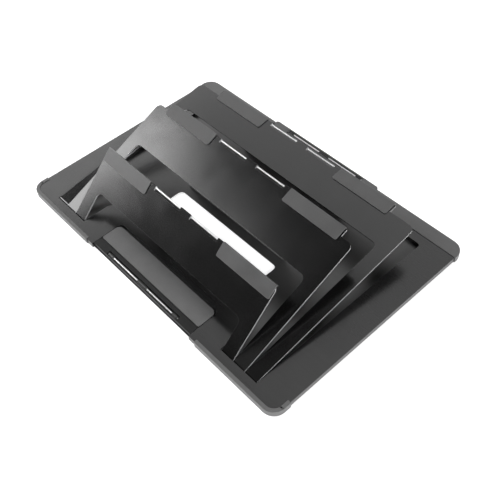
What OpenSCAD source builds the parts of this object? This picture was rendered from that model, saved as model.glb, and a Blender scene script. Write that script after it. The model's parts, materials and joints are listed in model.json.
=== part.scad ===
// Folding laptop stand: a flat base with three nested U-shaped flaps, each propped by its own leg,
// a flip-up front stopper and a rear leg that folds under the base.
// Origin: centre of the footprint, rear bar included, on the desk. +Y is the rear, +Z is up.

/* [Base] */
// Width of the base over its rubber bumpers
base_w = 310; // [300:1:380]
// Depth of the base over its rubber bumpers
base_d = 210; // [208:1:255]
// Radius of the outer corners of the base
base_corner_r = 11; // [6:0.5:14]
// Height of the top face above the desk
base_h = 5.6; // [5.4:0.1:7]
// Thickness of the top frame and flap sheet
sheet_t = 1.2; // [0.8:0.1:1.4]
// Depth of the recess from the top face to the tray floor
recess = 4; // [3.9:0.1:4.4]
// Thickness of the tray floor
floor_t = 1; // [0.8:0.1:1.2]
// Thickness of the tray walls
wall_t = 1; // [0.8:0.1:1.6]
// Side gap between nested pieces
nest_gap = 0.5; // [0.4:0.05:0.8]
// Half width of the opening that holds the flaps
nest_half = 127; // [124:0.5:140]
// Distance of the flap hinge line behind the front edge
hinge_inset = 12.5; // [12:0.1:15]
// Width of the tongue between the arms of the small flap
tongue_w = 176; // [170:1:177]
// Length of the tongue behind the hinge line
tongue_len = 27.4; // [26:0.1:27.6]
// Width of the hand hole in the tray
hand_hole_w = 120; // [100:1:122]
// Depth of the hand hole, front to rear
hand_hole_d = 44; // [36:1:46]
// Rear edge of the hand hole, behind the hinge line
hand_hole_rear = 81.5; // [78:0.5:82]

/* [Flaps] */
// Width of each flap arm
arm_w = 12.1; // [10:0.1:12.6]
// Distance from the hinge line to the prop rod: small, middle, large flap
rod_at = [62.8, 123.8, 173.2];
// Distance from the hinge line to the shoulders beside the pads
shoulder_at = [64.2, 118.3, 167.4];
// Distance from the hinge line to the inner cut-out
cut_at = [28, 79, 138.5];
// Angle of each raised flap
raised = [44.2, 23.1, 9.9];
// Radius of the flap corners
flap_r = 5; // [3:0.5:7]
// Radius of the cut-out corners
cut_r = 5; // [3:0.5:6]
// Half width of the padded edge
pad_edge_half = 102; // [96:0.5:103]
// Sheet left beyond the rod axis
edge_past_rod = 1.4; // [1.3:0.1:2]

/* [Pads and bumpers] */
// Outer end of each pad, from the middle
pad_outer = 100.6; // [90:0.2:101]
// Inner end of each pad, from the middle
pad_inner = 44; // [43:0.5:46]
// Depth of each pad on the flap face
pad_depth = 11.5; // [8:0.5:14]
// Thickness of the pads
pad_t = 1; // [0.6:0.1:1.4]
// Radius of the pad corners
pad_r = 1.4; // [1:0.2:3.6]
// Thickness of the pads in front of the flap edge
pad_wrap = 0.6; // [0.4:0.1:1]
// Depth of the rear bumper on the top face
rear_band = 13; // [10:0.5:16]
// Length of a front bumper along the front edge
front_run = 85; // [60:1:86]
// Length of a front bumper along the side edge
side_run = 17; // [14:1:40]
// Width of the bumper lips on the top and bottom faces
lip_w = 2.4; // [1.6:0.1:3]
// Width of the bumper soles under the base
sole_w = 9; // [6:0.5:12]
// Thickness of the bumper lips
lip_t = 0.6; // [0.4:0.05:0.6]
// Thickness of the bumpers in front of the sheet edge
bumper_t = 0.8; // [0.6:0.1:1.2]

/* [Rods and pins] */
// Radius of the prop rods in the flaps
rod_r = 0.7; // [0.5:0.05:0.75]
// Radius of the knuckles in the flap edge
knuckle_r = 1.3; // [1.1:0.05:1.3]
// Radius of the root hinge pins
pin_r = 0.65; // [0.5:0.05:0.65]
// Radius of the stopper and rear leg rods
bar_rod_r = 0.75; // [0.6:0.05:0.85]
// Radial running clearance of a pin in its bore
pin_play = 0.05; // [0.02:0.01:0.1]
// Half width of the middle knuckle
mid_half = 6.05; // [4:0.05:8]
// Inner end of the outer knuckle, from the middle
side_knuckle = 37.7; // [30:0.1:39]
// Depth of the windows that show the rod
window_depth = 2.2; // [2:0.1:3]

/* [Legs] */
// Width of each prop leg
leg_w = 118; // [110:1:119]
// Thickness of the leg sheet
leg_t = 1; // [0.8:0.1:1.1]
// Lean of each raised leg from the horizontal
leg_lean = [76, 64, 62.5];
// Height of the soft lip below the metal edge of each leg
foot_len = [7.4, 5.6, 4.4];
// Extra rubber behind the leg sheet
foot_back = 0.4; // [0.3:0.1:0.6]

/* [Stopper and rear leg] */
// Width of the stopper and of the rear leg
panel_w = 124.6; // [120:0.2:126]
// Distance of the stopper rod behind the front edge
stopper_rod_in = 5.4; // [5:0.1:6]
// Distance of the rear rod in front of the rear edge
rear_rod_in = -0.3; // [-0.5:0.1:1]
// Depth of the rod axis below the top face
bar_rod_z = 1.6; // [1.5:0.05:1.7]
// Front face of the stopper bar, ahead of its rod
bar_front = 2.7; // [2.4:0.1:3.4]
// Rear face of the stopper bar, behind its rod
bar_back = 4; // [3.4:0.1:4.1]
// Height of the stopper bar
bar_h = 3.2; // [3:0.1:3.4]
// Front edge of the tray shelf under the stopper bar, behind the front edge
shelf_in = 2.2; // [1.8:0.1:2.6]
// Thickness of that shelf
shelf_t = 0.4; // [0.3:0.05:0.5]
// Free edge of the stopper, behind the front edge
stopper_end = 29.5; // [26:0.5:30]
// Radius of the corners of the stopper's free edge
stopper_r = 4.5; // [2:0.5:6]
// Free gap behind the stopper
finger_gap = 2.1; // [1.5:0.1:2.5]
// Length of the rear leg in front of its rod
rear_leg_len = 37; // [30:0.5:38]
// Rear face of the rear leg bar, behind its rod
rear_bar_back = 2.6; // [2.4:0.1:4.4]

/* [Hidden] */
$fn = 48;

SMALL = 0; MIDDLE = 1; LARGE = 2;
eps = 0.01;
fit = 0.02;
seat = 0.05;
top_z = base_h;
sheet_z = top_z - sheet_t;
floor_z = top_z - recess;
tray_z = floor_z - floor_t;
base_y = -(rear_bar_back - rear_rod_in) / 2;
front_y = base_y - base_d / 2;
rear_y = base_y + base_d / 2;
metal_w = base_w - 2 * bumper_t;
metal_d = base_d - 2 * bumper_t;
metal_r = base_corner_r - bumper_t;

// Root hinge: the barrels fill the recess height but for a small clearance.
root_r = (recess - 0.2) / 2;
hinge_y = front_y + hinge_inset;
hinge_z = top_z - root_r;
plate_lo = root_r - sheet_t;
rod_w = root_r - knuckle_r;

arm_out = [for (i = [0:2]) nest_half - nest_gap - (2 - i) * (arm_w + nest_gap)];
arm_in = [for (i = [0:2]) arm_out[i] - arm_w];
edge_at = [for (i = [0:2]) rod_at[i] + edge_past_rod];
leg_open = [for (i = [0:2]) leg_lean[i] - raised[i]];
rod_half = pad_inner + 8.2;
leg_knuckle_r = rod_r + 0.35;
leg_knuckle = [pad_inner + 0.4, pad_inner + 8];
leg_top = -0.2;
leg_start = window_depth + 0.2;
rod_z = [for (i = [0:2]) hinge_z + rod_at[i] * sin(raised[i]) + rod_w * cos(raised[i])];
foot_drop = leg_t - leg_top + foot_back;
leg_total = [for (i = [0:2])
  (rod_z[i] - floor_z - seat - foot_drop * cos(leg_lean[i])) / sin(leg_lean[i])];
leg_metal = [for (i = [0:2]) leg_total[i] - foot_len[i]];

nest_rear = hinge_y + edge_at[LARGE] + pad_wrap + nest_gap + 0.3;
nest_front = hinge_y - root_r - 0.35;
tongue_rear = hinge_y + tongue_len;
hole_rear = hinge_y + hand_hole_rear;

cut_gap = 0.5;
stopper_y = front_y + stopper_rod_in;
bar_z = top_z - bar_rod_z;
slot_half = 1.9;
slot_end = pad_inner + 1.4;
bar_rod_half = slot_end + 2.8;
stopper_hole = front_y + stopper_end + finger_gap;
rear_rod_y = rear_y - rear_rod_in;
rear_cut = rear_rod_y - 4.3;
rear_leg_hole = rear_rod_y - rear_leg_len - cut_gap;
rear_bar_front = 3.7;
rear_slot = [-2.8, 1.5];
rear_bar_h = base_h - lip_t - 0.4;
base_knuckle_r = bar_rod_r + 0.55;
rear_slot_depth = bar_rod_z + base_knuckle_r + 0.2;
side_knuckle_end = pad_inner;
screw_x = nest_half + (metal_w / 2 - nest_half) / 2;
screw_y = [for (k = [-0.3, 0, 0.3]) base_y + k * base_d];
boss_r = 2.8;
screw_r = 1.2;
screw_head_r = 2.2;

metal = [0.26, 0.26, 0.27];
metal_dark = [0.2, 0.2, 0.21];
rubber = [0.42, 0.42, 0.43];
steel = [0.85, 0.86, 0.88];

// Rounded rectangle by its limits.
module round_box_2d(x0, x1, y0, y1, r) {
  translate([x0 + r, y0]) square([x1 - x0 - 2 * r, y1 - y0]);
  translate([x0, y0 + r]) square([x1 - x0, y1 - y0 - 2 * r]);
  for (x = [x0 + r, x1 - r], y = [y0 + r, y1 - r]) translate([x, y]) circle(r);
}

// Box by its limits.
module span(x, y, z) {
  translate([x[0], y[0], z[0]]) cube([x[1] - x[0], y[1] - y[0], z[1] - z[0]]);
}

// A box and its mirror image about the middle plane.
module both_sides(x, y, z) {
  for (s = [0, 1]) mirror([s, 0, 0]) span(x, y, z);
}

// Round bar along X.
module bar_x(x0, x1, r) {
  translate([x0, 0, 0]) rotate([0, 90, 0]) cylinder(h = x1 - x0, r = r);
}

module both_bars(x0, x1, r) {
  bar_x(x0, x1, r);
  bar_x(-x1, -x0, r);
}

module on_flap(i) {
  translate([0, hinge_y, hinge_z]) rotate([raised[i], 0, 0]) children();
}

module on_rod(i) {
  on_flap(i) translate([0, rod_at[i], rod_w]) children();
}

module on_leg(i) {
  on_rod(i) rotate([leg_open[i], 0, 0]) children();
}

module base_outline_2d(grow = 0) {
  translate([0, base_y]) round_box_2d(-metal_w / 2 - grow, metal_w / 2 + grow,
    -metal_d / 2 - grow, metal_d / 2 + grow, metal_r + grow);
}

module nest_2d(grow = 0) {
  round_box_2d(-nest_half - grow, nest_half + grow, nest_front - grow, nest_rear + grow, 3);
  translate([-nest_half - grow, nest_front - grow]) square([2 * (nest_half + grow), 6]);
}

module stopper_cut_2d() {
  half = panel_w / 2 + cut_gap;
  translate([-half, front_y - 1]) square([2 * half, stopper_hole - stopper_r - front_y + 1]);
  round_box_2d(-half, half, stopper_hole - 3 * stopper_r, stopper_hole, stopper_r);
}

module rear_cut_2d() {
  half = panel_w / 2 + cut_gap;
  translate([-half, rear_cut]) square([2 * half, rear_y - rear_cut + 10]);
}

// Three fixed knuckles on one side of a rod, and the arms that carry them.
module knuckle_spans() {
  for (s = [[-mid_half + 0.4, mid_half - 0.4], [side_knuckle + 0.4, side_knuckle_end],
      [-side_knuckle_end, -side_knuckle - 0.4]]) {
    $k = s;
    children();
  }
}

module stopper_knuckles() {
  post_y = [stopper_y + bar_back + 0.7, stopper_y + bar_back + 2.2];
  knuckle_spans() difference() {
    union() {
      translate([0, stopper_y, bar_z]) bar_x($k[0], $k[1], base_knuckle_r);
      span($k, [stopper_y, post_y[1]], [bar_z - base_knuckle_r, bar_z - 0.35]);
      span($k, post_y, [floor_z - eps, bar_z - 0.35]);
    }
    translate([0, stopper_y, bar_z]) bar_x($k[0] - 1, $k[1] + 1, bar_rod_r + pin_play);
  }
}

module rear_knuckles() {
  knuckle_spans() difference() {
    union() {
      translate([0, rear_rod_y, bar_z]) bar_x($k[0], $k[1], base_knuckle_r);
      span($k, [rear_cut - 1.6, rear_rod_y], [bar_z - 0.6, bar_z + 0.7]);
      span($k, [rear_cut - 1.6, rear_cut - 0.2], [bar_z - 0.6, sheet_z + eps]);
    }
    translate([0, rear_rod_y, bar_z]) bar_x($k[0] - 1, $k[1] + 1, bar_rod_r + pin_play);
  }
}

// Lugs in the tray that hold the root hinge pins.
module pin_lugs() {
  inner = [arm_in[SMALL] - nest_gap - 3.4, arm_in[SMALL] - nest_gap];
  outer = [nest_half, nest_half + 3.6];
  for (s = [0, 1], x = [inner, outer]) mirror([s, 0, 0]) difference() {
    span(x, [hinge_y - 1.8, hinge_y + 1.8], [floor_z - eps, sheet_z]);
    translate([0, hinge_y, hinge_z]) bar_x(x[0] - 1, x[1] + 1, pin_r + fit);
  }
}

module bottom_tray() {
  color(metal_dark) difference() {
    union() {
      translate([0, 0, tray_z]) linear_extrude(floor_t) base_outline_2d();
      translate([0, 0, floor_z - eps]) linear_extrude(sheet_z - floor_z + eps) {
        difference() {
          base_outline_2d();
          base_outline_2d(-wall_t);
        }
        difference() {
          nest_2d(wall_t);
          nest_2d();
        }
      }
      pin_lugs();
    }
    translate([0, 0, tray_z - 1]) linear_extrude(base_h + 2) rear_cut_2d();
    translate([0, 0, tray_z + shelf_t]) linear_extrude(base_h) stopper_front_cut_2d();
    span([-panel_w / 2 - cut_gap, panel_w / 2 + cut_gap], [front_y - 1, front_y + shelf_in],
      [tray_z - 1, base_h]);
    // Hand hole and the bay of the rear leg
    translate([0, 0, tray_z - 1]) linear_extrude(floor_t + 2)
      round_box_2d(-hand_hole_w / 2, hand_hole_w / 2, hole_rear - hand_hole_d, hole_rear, 4);
    span([-panel_w / 2 - cut_gap, panel_w / 2 + cut_gap], [rear_leg_hole, rear_y],
      [tray_z - 1, floor_z + 1]);
    span([-panel_w / 2 - cut_gap, panel_w / 2 + cut_gap], [front_y - 1, stopper_hole],
      [top_z + stopper_plate_z[0], top_z]);
    for (s = [-1, 1], y = screw_y) translate([s * screw_x, y, tray_z - 1]) {
      cylinder(h = floor_t + 2, r = screw_r + 0.1);
      translate([0, 0, 1 - eps]) cylinder(h = 0.6, r1 = screw_head_r + 0.1, r2 = screw_r + 0.1);
    }
    // Bores of the pins through the walls of the nest
    for (s = [0, 1]) mirror([s, 0, 0]) translate([0, hinge_y, hinge_z])
      bar_x(nest_half - 1, nest_half + 3, pin_r + fit);
  }
  color(metal_dark) stopper_knuckles();
}

module stopper_front_cut_2d() {
  half = panel_w / 2 + cut_gap;
  translate([-half, front_y - 1]) square([2 * half, stopper_rod_in + bar_back + 1 + cut_gap]);
}

module top_frame() {
  color(metal) {
    translate([0, 0, sheet_z]) linear_extrude(sheet_t) difference() {
      union() {
        difference() {
          base_outline_2d();
          nest_2d();
        }
        round_box_2d(-tongue_w / 2, tongue_w / 2, nest_front - 8, tongue_rear, 6);
      }
      stopper_cut_2d();
      rear_cut_2d();
    }
    for (s = [-1, 1], y = screw_y) translate([s * screw_x, y, floor_z]) difference() {
      cylinder(h = sheet_z - floor_z + eps, r = boss_r);
      translate([0, 0, -1]) cylinder(h = sheet_z - floor_z + 1, r = screw_r + fit);
    }
    rear_knuckles();
  }
}

module tray_screws() {
  color(steel) for (s = [-1, 1], y = screw_y) translate([s * screw_x, y, tray_z]) difference() {
    union() {
      cylinder(h = floor_t + 2.2, r = screw_r);
      cylinder(h = 0.6, r1 = screw_head_r, r2 = screw_r);
    }
    for (a = [0, 90]) rotate(a) span([-1.3, 1.3], [-0.25, 0.25], [-1, 0.4]);
  }
}

module hinge_pin() {
  color(steel) translate([0, hinge_y, hinge_z])
    bar_x(arm_in[SMALL] - nest_gap - 3.2, nest_half + 3, pin_r);
}

module left_hinge_pin() {
  mirror([1, 0, 0]) hinge_pin();
}

module right_hinge_pin() {
  hinge_pin();
}

// Sheet outline of a flap, hinge line at y = 0.
module flap_2d(i) {
  difference() {
    union() {
      round_box_2d(-arm_out[i], arm_out[i], 0, min(shoulder_at[i], edge_at[i]), flap_r);
      translate([-arm_out[i], 0]) square([2 * arm_out[i], 3 * flap_r]);
      tab = min(pad_edge_half, arm_out[i]);
      round_box_2d(-tab, tab, edge_at[i] - 20, edge_at[i], i == SMALL ? flap_r : 1);
    }
    round_box_2d(-arm_in[i], arm_in[i], -20, cut_at[i], cut_r);
    for (s = [0, 1]) mirror([s, 0]) {
      translate([mid_half, rod_at[i] - window_depth]) square([side_knuckle - mid_half, 10]);
      translate([pad_inner, rod_at[i] - window_depth]) square([8.4, 10]);
    }
  }
}

module flap(i) {
  color(metal) on_flap(i) difference() {
    union() {
      translate([0, 0, plate_lo]) linear_extrude(sheet_t) flap_2d(i);
      both_bars(arm_in[i], arm_out[i], root_r);
      translate([0, rod_at[i], rod_w]) {
        bar_x(-mid_half, mid_half, knuckle_r);
        both_bars(side_knuckle, pad_inner, knuckle_r);
      }
    }
    both_bars(arm_in[i] - 1, arm_out[i] + 1, pin_r + pin_play);
    translate([0, rod_at[i], rod_w]) bar_x(-pad_inner - 1, pad_inner + 1, rod_r + fit);
  }
}

module flap_small() {
  flap(SMALL);
}

module flap_middle() {
  flap(MIDDLE);
}

module flap_large() {
  flap(LARGE);
}

// Soft pad on the right half of a flap edge, wrapped over the edge.
module pad(i) {
  face = root_r;
  color(rubber) on_flap(i) {
    translate([0, 0, face]) linear_extrude(pad_t) difference() {
      round_box_2d(pad_inner, pad_outer, edge_at[i] - pad_depth, edge_at[i] + pad_wrap + pad_r, pad_r);
      translate([0, edge_at[i] + pad_wrap]) square([2 * pad_outer, 20]);
    }
    span([pad_inner, pad_outer], [edge_at[i], edge_at[i] + pad_wrap], [plate_lo, face + eps]);
  }
}

module small_pad_right() {
  pad(SMALL);
}

module small_pad_left() {
  mirror([1, 0, 0]) pad(SMALL);
}

module middle_pad_right() {
  pad(MIDDLE);
}

module middle_pad_left() {
  mirror([1, 0, 0]) pad(MIDDLE);
}

module large_pad_right() {
  pad(LARGE);
}

module large_pad_left() {
  mirror([1, 0, 0]) pad(LARGE);
}

module prop_rod(i) {
  color(steel) on_rod(i) bar_x(-rod_half, rod_half, rod_r);
}

module small_rod() {
  prop_rod(SMALL);
}

module middle_rod() {
  prop_rod(MIDDLE);
}

module large_rod() {
  prop_rod(LARGE);
}

// Prop leg: a sheet that hangs from two knuckles hidden under the pads.
module leg(i) {
  z = [leg_top - leg_t, leg_top];
  color(metal_dark) on_leg(i) difference() {
    union() {
      translate([0, 0, z[0]]) linear_extrude(leg_t)
        translate([-leg_w / 2, -leg_metal[i]]) square([leg_w, leg_metal[i] - leg_start]);
      both_sides(leg_knuckle, [-leg_start - 1, 0], [-leg_knuckle_r, leg_top]);
      both_bars(leg_knuckle[0], leg_knuckle[1], leg_knuckle_r);
    }
    bar_x(-leg_w, leg_w, rod_r + pin_play);
  }
}

module leg_small() {
  leg(SMALL);
}

module leg_middle() {
  leg(MIDDLE);
}

module leg_large() {
  leg(LARGE);
}

// Rubber strip along the lower edge of a leg.
module foot(i) {
  back = leg_top - leg_t;
  color(rubber) on_leg(i) {
    span([-leg_w / 2, leg_w / 2], [-leg_total[i], -leg_metal[i]], [back - foot_back, leg_top]);
    span([-leg_w / 2, leg_w / 2], [-leg_metal[i] - eps, -leg_metal[i] + 3], [back - foot_back, back]);
  }
}

module foot_small() {
  foot(SMALL);
}

module foot_middle() {
  foot(MIDDLE);
}

module foot_large() {
  foot(LARGE);
}

plate_gap = 1.9;
stopper_plate_z = [-1.4, -0.8];
stopper_pad_t = 1.1;

// Strip with rounded rear corners and square or lightly rounded front ones.
module stopper_outline_2d(half, y0, y1, front_r) {
  round_box_2d(-half, half, y0 + front_r, y1, stopper_r);
  if (front_r > 0) round_box_2d(-half, half, y0, y0 + 2 * stopper_r, front_r);
  else translate([-half, y0]) square([2 * half, 2 * stopper_r]);
}

module stopper() {
  half = panel_w / 2;
  y1 = stopper_end - stopper_rod_in;
  color(metal_dark) translate([0, stopper_y, top_z]) difference() {
    union() {
      span([-half, half], [-bar_front, bar_back], [-bar_h, 0]);
      translate([0, 0, stopper_plate_z[0]])
        linear_extrude(stopper_plate_z[1] - stopper_plate_z[0])
          stopper_outline_2d(half, bar_back - 4, y1, 0);
    }
    span([-slot_end, slot_end], [-slot_half, slot_half], [-bar_h - 1, 1]);
    knuckle_spans() span([$k[0] - 0.4, $k[1] + 0.4], [-10, 10], [-bar_h - 1, -bar_rod_z - 0.15]);
    translate([0, 0, -bar_rod_z]) bar_x(-bar_rod_half - 0.3, bar_rod_half + 0.3, bar_rod_r + fit);
    // Bevel along the lower front edge, so that the bar clears the desk as it turns
    translate([0, -bar_front, -bar_h]) rotate([45, 0, 0])
      span([-half - 1, half + 1], [-0.8, 0.8], [-0.8, 0.8]);
  }
}

module stopper_pad() {
  half = panel_w / 2;
  y = [bar_back + plate_gap, stopper_end - stopper_rod_in - 0.2];
  color(rubber) translate([0, stopper_y, top_z + stopper_plate_z[1]]) linear_extrude(stopper_pad_t) {
    stopper_outline_2d(half - 0.3, y[0], y[1], 1);
  }
}

module stopper_rod() {
  color(steel) translate([0, stopper_y, bar_z]) bar_x(-bar_rod_half, bar_rod_half, bar_rod_r);
}

module rear_leg() {
  half = panel_w / 2;
  color(metal_dark) translate([0, rear_rod_y, top_z]) difference() {
    union() {
      translate([0, 0, -rear_bar_h]) linear_extrude(rear_bar_h)
        round_box_2d(-half, half, -rear_bar_front, rear_bar_back, 2.8);
      translate([0, 0, tray_z - top_z]) linear_extrude(floor_t)
        round_box_2d(-half, half, -rear_leg_len, 0, 3);
    }
    span([-slot_end, slot_end], rear_slot, [-rear_slot_depth, 1]);
    knuckle_spans() span([$k[0] - 0.4, $k[1] + 0.4], [-10, 0], [-bar_rod_z - 1.05, 1]);
    translate([0, 0, -bar_rod_z]) bar_x(-bar_rod_half - 0.3, bar_rod_half + 0.3, bar_rod_r + fit);
  }
}

module rear_leg_foot() {
  half = panel_w / 2 - 4;
  color(rubber) translate([0, rear_rod_y - rear_leg_len, tray_z - 0.4]) linear_extrude(0.4)
    round_box_2d(-half, half, 1, 6, 2);
}

module rear_rod() {
  color(steel) translate([0, rear_rod_y, bar_z]) bar_x(-bar_rod_half, bar_rod_half, bar_rod_r);
}

// Ring that wraps the edge of the base: outer wall, top lip and bottom lip.
module edge_ring(top_lip) {
  difference() {
    translate([0, 0, tray_z - lip_t]) linear_extrude(top_z + lip_t - tray_z + lip_t)
      base_outline_2d(bumper_t);
    translate([0, 0, tray_z]) linear_extrude(top_z - tray_z) base_outline_2d();
    translate([0, 0, tray_z - lip_t - 1]) linear_extrude(lip_t + 2) base_outline_2d(-sole_w);
    if (top_lip) translate([0, 0, top_z - 1]) linear_extrude(lip_t + 2) base_outline_2d(-lip_w);
  }
}

module bumper_front_right() {
  color(rubber) intersection() {
    edge_ring(true);
    span([base_w / 2 - front_run, base_w], [front_y - 5, front_y + side_run], [-5, base_h + 5]);
  }
}

module bumper_front_left() {
  mirror([1, 0, 0]) bumper_front_right();
}

module bumper_rear() {
  color(rubber) difference() {
    intersection() {
      edge_ring(false);
      span([-base_w, base_w], [rear_y - rear_band, rear_y + 5], [-5, base_h + 5]);
    }
    translate([0, 0, -5]) linear_extrude(base_h + 20) rear_cut_2d();
    span([-panel_w / 2 - cut_gap, panel_w / 2 + cut_gap], [rear_leg_hole, rear_y], [-1, tray_z + 1]);
  }
}

bottom_tray();
top_frame();
tray_screws();
left_hinge_pin();
right_hinge_pin();
flap_small();
flap_middle();
flap_large();
small_pad_left();
small_pad_right();
middle_pad_left();
middle_pad_right();
large_pad_left();
large_pad_right();
small_rod();
middle_rod();
large_rod();
leg_small();
leg_middle();
leg_large();
foot_small();
foot_middle();
foot_large();
stopper();
stopper_pad();
stopper_rod();
rear_leg();
rear_leg_foot();
rear_rod();
bumper_front_left();
bumper_front_right();
bumper_rear();
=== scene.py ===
import json
import math

import bpy
from mathutils import Matrix, Vector

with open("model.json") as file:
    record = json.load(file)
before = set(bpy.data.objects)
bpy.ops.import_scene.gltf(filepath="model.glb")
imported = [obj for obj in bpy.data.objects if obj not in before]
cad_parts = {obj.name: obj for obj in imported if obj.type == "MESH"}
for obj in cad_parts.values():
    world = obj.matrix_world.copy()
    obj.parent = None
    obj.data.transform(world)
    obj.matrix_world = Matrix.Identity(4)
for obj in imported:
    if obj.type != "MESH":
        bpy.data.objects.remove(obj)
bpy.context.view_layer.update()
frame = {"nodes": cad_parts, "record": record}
scene = bpy.context.scene
MM = 0.001

# Material slots of the record
METAL = "frame_metal"
DARK = "dark_metal"
RUBBER = "grip_rubber"
STEEL = "pin_steel"
PLASTIC = "bar_plastic"
SLOT_OF = {s["node"]: s["material_slot"] for s in frame["record"]["subparts"]}


# ---------------------------------------------------------------- node helpers

class Nodes:
    """Builds one material's node tree, a node at a time."""

    def __init__(self, name):
        self.material = bpy.data.materials.new(name)
        self.material.use_nodes = True
        self.tree = self.material.node_tree
        self.shader = self.tree.nodes["Principled BSDF"]
        self.coords = self.new("ShaderNodeTexCoord").outputs["Object"]

    def new(self, kind, **settings):
        node = self.tree.nodes.new(kind)
        for key, value in settings.items():
            setattr(node, key, value)
        return node

    def link(self, source, target):
        self.tree.links.new(source, target)

    def constant(self, socket, value):
        self.shader.inputs[socket].default_value = value

    def stretched(self, x, y, z):
        mapping = self.new("ShaderNodeMapping")
        mapping.inputs["Scale"].default_value = (x, y, z)
        self.link(self.coords, mapping.inputs["Vector"])
        return mapping.outputs["Vector"]

    def noise(self, scale, detail=2, rough=0.5, vector=None):
        node = self.new("ShaderNodeTexNoise")
        node.inputs["Scale"].default_value = scale
        node.inputs["Detail"].default_value = detail
        node.inputs["Roughness"].default_value = rough
        self.link(vector or self.coords, node.inputs["Vector"])
        return node.outputs["Fac"]

    def remap(self, value, low, high, out_low, out_high):
        node = self.new("ShaderNodeMapRange")
        for key, number in zip(("From Min", "From Max", "To Min", "To Max"),
                               (low, high, out_low, out_high)):
            node.inputs[key].default_value = number
        self.link(value, node.inputs["Value"])
        return node.outputs["Result"]

    def math(self, operation, a, b):
        node = self.new("ShaderNodeMath", operation=operation)
        for socket, value in zip(node.inputs, (a, b)):
            if isinstance(value, (int, float)):
                socket.default_value = value
            else:
                self.link(value, socket)
        return node.outputs["Value"]

    def ramp(self, value, *stops):
        node = self.new("ShaderNodeValToRGB")
        elements = node.color_ramp.elements
        while len(elements) < len(stops):
            elements.new(0.5)
        for element, (position, grey) in zip(elements, stops):
            element.position = position
            element.color = (grey, grey, grey, 1)
        self.link(value, node.inputs["Fac"])
        return node.outputs["Color"]

    def blend(self, factor, under, tint):
        node = self.new("ShaderNodeMix", data_type="RGBA")
        self.link(factor, node.inputs["Factor"])
        self.link(under, node.inputs["A"])
        node.inputs["B"].default_value = (*tint, 1)
        return node.outputs["Result"]

    def bump(self, height, distance, strength=1.0, normal=None):
        node = self.new("ShaderNodeBump")
        node.inputs["Distance"].default_value = distance
        node.inputs["Strength"].default_value = strength
        self.link(height, node.inputs["Height"])
        if normal:
            self.link(normal, node.inputs["Normal"])
        return node.outputs["Normal"]

    def edge(self, radius):
        """1 on sharp outside and inside edges within the radius, 0 on flat faces."""
        soft = self.new("ShaderNodeBevel", samples=6)
        soft.inputs["Radius"].default_value = radius
        flat = self.new("ShaderNodeNewGeometry")
        dot = self.new("ShaderNodeVectorMath", operation="DOT_PRODUCT")
        self.link(soft.outputs["Normal"], dot.inputs[0])
        self.link(flat.outputs["Normal"], dot.inputs[1])
        return self.remap(dot.outputs["Value"], 0.995, 0.8, 0.0, 1.0)


def satin_paint(name, dark, light, rough, highlight_tint, lit_cut_tint=None, shine=0.8):
    """Satin black-grey finish on sheet metal.

    It has a blasted grain, faint rolling lines, handling marks and a painted highlight along its
    sharp edges. Given a side tint, the sheet's side faces along X show it: unpainted metal left by
    the shear, made brighter as a painted highlight of the right-hand light.
    """
    n = Nodes(name)
    grain = n.noise(2400, 3, 0.7)
    clouds = n.noise(16, 4, 0.55)
    rolled = n.noise(420, 3, 0.6, n.stretched(0.04, 1, 1))
    smudge = n.noise(48, 4, 0.5)
    mix = n.math("ADD", n.math("MULTIPLY", clouds, 0.6), n.math("MULTIPLY", rolled, 0.4))
    body = n.ramp(mix, (0.3, dark), (0.7, light))
    # Painted highlight: a paler tint within 0.3 mm of sharp edges, made patchy by noise
    edge_highlight = n.math("MULTIPLY", n.edge(0.3 * MM), n.remap(n.noise(160, 3), 0.35, 0.7, 0.25, 0.9))
    body = n.blend(edge_highlight, body, highlight_tint)
    if lit_cut_tint:
        # Faces along X take the side tint: unpainted sheared metal, made brighter as a painted
        # highlight of the right-hand light
        side = n.new("ShaderNodeSeparateXYZ")
        n.link(n.new("ShaderNodeNewGeometry").outputs["Normal"], side.inputs["Vector"])
        bare_and_lit_side = n.remap(n.math("ABSOLUTE", side.outputs["X"], 0), 0.6, 0.85, 0.0, 1.0)
        body = n.blend(bare_and_lit_side, body, lit_cut_tint)
        n.link(n.math("MULTIPLY", bare_and_lit_side, 0.5), n.shader.inputs["Metallic"])
    n.link(body, n.shader.inputs["Base Color"])
    marks = n.remap(smudge, 0.3, 0.7, rough - 0.02, rough + 0.03)
    fine = n.remap(grain, 0.3, 0.7, -0.03, 0.03)
    n.link(n.math("ADD", marks, fine), n.shader.inputs["Roughness"])
    lines = n.bump(rolled, 0.002 * MM, 0.3)
    n.link(n.bump(grain, 0.008 * MM, 0.5, lines), n.shader.inputs["Normal"])
    n.constant("Specular IOR Level", shine)
    return n.material


def rubber(name, dark, light, rough=0.52):
    """Moulded silicone: fine pebbled skin, slightly dusty, a little sheen, and a painted highlight
    along its edges.
    """
    n = Nodes(name)
    cells = n.new("ShaderNodeTexVoronoi", feature="SMOOTH_F1")
    cells.inputs["Scale"].default_value = 2600
    cells.inputs["Smoothness"].default_value = 0.6
    n.link(n.coords, cells.inputs["Vector"])
    pebble = cells.outputs["Distance"]
    dust = n.noise(60, 5, 0.6)
    mix = n.math("ADD", n.math("MULTIPLY", dust, 0.8), n.math("MULTIPLY", pebble, 0.2))
    body = n.ramp(mix, (0.3, dark), (0.72, light))
    # Painted highlight: a paler grey within 0.4 mm of sharp edges, made patchy by the dust noise
    skin_edge_highlight = n.math("MULTIPLY", n.edge(0.4 * MM), n.remap(dust, 0.35, 0.65, 0.5, 0.9))
    n.link(n.blend(skin_edge_highlight, body, (0.34, 0.34, 0.345)), n.shader.inputs["Base Color"])
    n.link(n.remap(dust, 0.3, 0.7, rough - 0.05, rough + 0.07), n.shader.inputs["Roughness"])
    n.link(n.bump(pebble, 0.03 * MM, 0.5), n.shader.inputs["Normal"])
    n.constant("Sheen Weight", 0.1)
    n.constant("Sheen Roughness", 0.5)
    return n.material


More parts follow.
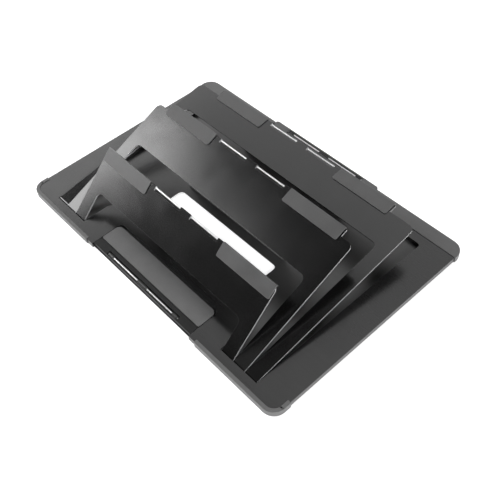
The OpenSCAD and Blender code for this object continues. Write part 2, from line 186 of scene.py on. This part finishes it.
def polished_steel(name):
    """Ground rod: bright, with fine rings along its length."""
    n = Nodes(name)
    rings = n.noise(900, 2, 0.6, n.stretched(1, 0.02, 0.02))
    n.link(n.ramp(rings, (0.3, 0.8), (0.7, 0.9)), n.shader.inputs["Base Color"])
    n.link(n.remap(rings, 0.3, 0.7, 0.34, 0.4), n.shader.inputs["Roughness"])
    n.constant("Metallic", 1.0)
    return n.material


FLAP_METAL, LIT_TRAY_METAL, STOPPER_BAR, SHADED_FLAP_PAD = "satin_flap", "satin_tray_painted_light", "moulded_bar", "pad_skin_shaded"
# Tints of the painted edge highlight, one per finish
PAINTED_HIGHLIGHT = (0.16, 0.16, 0.165)
PAINTED_HIGHLIGHT_FLAP = (0.26, 0.26, 0.265)
PAINTED_HIGHLIGHT_TRAY = (0.12, 0.12, 0.123)
PAINTED_HIGHLIGHT_DARK = (0.1, 0.1, 0.103)
# Side-face tint of the flaps: unpainted metal together with a painted highlight
BARE_AND_LIT_TINT = (0.85, 0.85, 0.86)
MATERIALS = {
    METAL: satin_paint("satin_frame", 0.016, 0.022, 0.21, PAINTED_HIGHLIGHT, shine=0.6),
    # Tray paint lighter than the frame's: painted light, standing for the light that reaches under
    # the flaps
    LIT_TRAY_METAL: satin_paint(LIT_TRAY_METAL, 0.045, 0.06, 0.34, PAINTED_HIGHLIGHT_TRAY, shine=0.6),
    FLAP_METAL: satin_paint(FLAP_METAL, 0.005, 0.008, 0.19, PAINTED_HIGHLIGHT_FLAP, lit_cut_tint=BARE_AND_LIT_TINT),
    DARK: satin_paint("satin_dark", 0.005, 0.009, 0.22, PAINTED_HIGHLIGHT_DARK),
    STOPPER_BAR: satin_paint(STOPPER_BAR, 0.012, 0.018, 0.5, PAINTED_HIGHLIGHT_DARK, shine=0.3),
    RUBBER: rubber("grip_skin", 0.13, 0.165),
    # Darker copy of the grip rubber for the flap pads: painted shade, offsetting the strong light the
    # tilted flaps catch
    SHADED_FLAP_PAD: rubber(SHADED_FLAP_PAD, 0.085, 0.11, 0.4),
    PLASTIC: rubber("bar_skin", 0.12, 0.16),
    STEEL: polished_steel("ground_steel"),
}
# Nodes whose finish differs a little from the rest of their slot
OWN_LOOK = {
    # the tray takes the lighter paint (painted light)
    "bottom_tray": LIT_TRAY_METAL,
    "stopper": STOPPER_BAR,
    "flap_small": FLAP_METAL,
    "flap_middle": FLAP_METAL,
    "flap_large": FLAP_METAL,
}


# ---------------------------------------------------------------- finish on the CAD nodes

WELD_GAP = 0.002 * MM
SHARP_ANGLE = math.radians(40)
FLAT_FACE_WEIGHT = 80
EDGE_RADIUS = {
    METAL: 0.16 * MM,
    DARK: 0.12 * MM,
    RUBBER: 0.3 * MM,
    PLASTIC: 0.25 * MM,
    STEEL: 0.08 * MM,
}


def finish_node(node, radius):
    """Repaints a CAD node and rounds its edges with modifiers, which leave its own mesh alone."""
    obj = frame["nodes"][node]
    obj.data.materials.clear()
    # Flap pads take the darker rubber copy (painted shade)
    kind = SHADED_FLAP_PAD if "_pad_" in node else OWN_LOOK.get(node, SLOT_OF[node])
    obj.data.materials.append(MATERIALS[kind])
    weld = obj.modifiers.new("join", "WELD")
    weld.merge_threshold = WELD_GAP
    bevel = obj.modifiers.new("round", "BEVEL")
    bevel.width = radius
    bevel.segments = 2
    bevel.limit_method = "ANGLE"
    bevel.angle_limit = SHARP_ANGLE
    bevel.use_clamp_overlap = True
    weighted = obj.modifiers.new("normals", "WEIGHTED_NORMAL")
    weighted.weight = FLAT_FACE_WEIGHT
    for polygon in obj.data.polygons:
        polygon.use_smooth = True


for node_name in frame["nodes"]:
    finish_node(node_name, EDGE_RADIUS[SLOT_OF[node_name]])


# ---------------------------------------------------------------- studio

FLOOR_HALF = 6
PAPER_GLOW = 0.75


def make_floor():
    mesh = bpy.data.meshes.new("floor")
    corners = [(x * FLOOR_HALF, y * FLOOR_HALF, 0) for x, y in ((-1, -1), (1, -1), (1, 1), (-1, 1))]
    mesh.from_pydata(corners, [], [(0, 1, 2, 3)])
    floor = bpy.data.objects.new("floor", mesh)
    scene.collection.objects.link(floor)
    n = Nodes("paper")
    n.constant("Roughness", 0.9)
    n.link(n.ramp(n.noise(3, 2), (0.3, 0.86), (0.7, 0.88)), n.shader.inputs["Base Color"])
    n.constant("Emission Color", (1, 1, 1, 1))
    n.constant("Emission Strength", PAPER_GLOW)
    mesh.materials.append(n.material)


def make_world():
    """Pale at the horizon, dim overhead, so that satin faces take their shine from the panels."""
    world = bpy.data.worlds.new("studio")
    world.use_nodes = True
    tree = world.node_tree
    sky = tree.nodes.new("ShaderNodeTexCoord")
    height = tree.nodes.new("ShaderNodeSeparateXYZ")
    fade = tree.nodes.new("ShaderNodeValToRGB")
    tree.links.new(sky.outputs["Generated"], height.inputs["Vector"])
    tree.links.new(height.outputs["Z"], fade.inputs["Fac"])
    tree.links.new(fade.outputs["Color"], tree.nodes["Background"].inputs["Color"])
    for element, (rise, grey) in zip(fade.color_ramp.elements, ((0.0, 0.5), (0.12, 0.04))):
        element.position, element.color = rise, (grey, grey, grey, 1)
    scene.world = world


def panel(name, centre, facing, size, radiance):
    """A soft panel of even brightness, given by its radiance."""
    light = bpy.data.lights.new(name, "AREA")
    light.shape = "RECTANGLE"
    light.size, light.size_y = size
    light.energy = radiance * math.pi * size[0] * size[1]
    obj = bpy.data.objects.new(name, light)
    scene.collection.objects.link(obj)
    obj.location = centre
    obj.rotation_mode = "QUATERNION"
    obj.rotation_quaternion = Vector(facing).to_track_quat("-Z", "Y")


make_floor()
make_world()
# An upright panel on the left and in front with a dimmer one above it, dim ones overhead to the rear,
# brighter towards the left, and a small bright one on the right for the edges
panel("left_panel", (-1.5, -0.9, 1.05), (1, 0, 0), (1.15, 1.45), 6.7)
panel("left_top_panel", (-1.5, -0.9, 1.8), (1, 0, 0), (0.35, 1.45), 2.4)
panel("rear_panel", (-0.6, 1.2, 1.6), (0, 0, -1), (2.0, 1.8), 1.05)
panel("rear_left_panel", (-2.2, 1.1, 1.6), (0, 0, -1), (1.2, 2.0), 2.5)
panel("rim_panel", (1.5, -0.1, 0.6), (-1, 0.07, -0.38), (0.5, 0.5), 20)

# ---------------------------------------------------------------- camera

CAMERA_AT = Vector((328.4, -253.25, 464.6)) * MM
CAMERA_RIGHT = Vector((0.6743, 0.7365, -0.0537))
CAMERA_FORWARD = Vector((-0.4947, 0.3966, -0.7733))
LENS = 53.06
SENSOR = 36


def make_camera():
    data = bpy.data.cameras.new("camera")
    camera = bpy.data.objects.new("camera", data)
    scene.collection.objects.link(camera)
    right = CAMERA_RIGHT.normalized()
    forward = (CAMERA_FORWARD - right * CAMERA_FORWARD.dot(right)).normalized()
    turn = Matrix((right, right.cross(forward), -forward)).transposed()
    camera.matrix_world = Matrix.Translation(CAMERA_AT) @ turn.to_4x4()
    data.lens = LENS
    data.sensor_width = SENSOR
    data.clip_start = 0.01
    scene.camera = camera


make_camera()
scene.view_settings.view_transform = "Standard"
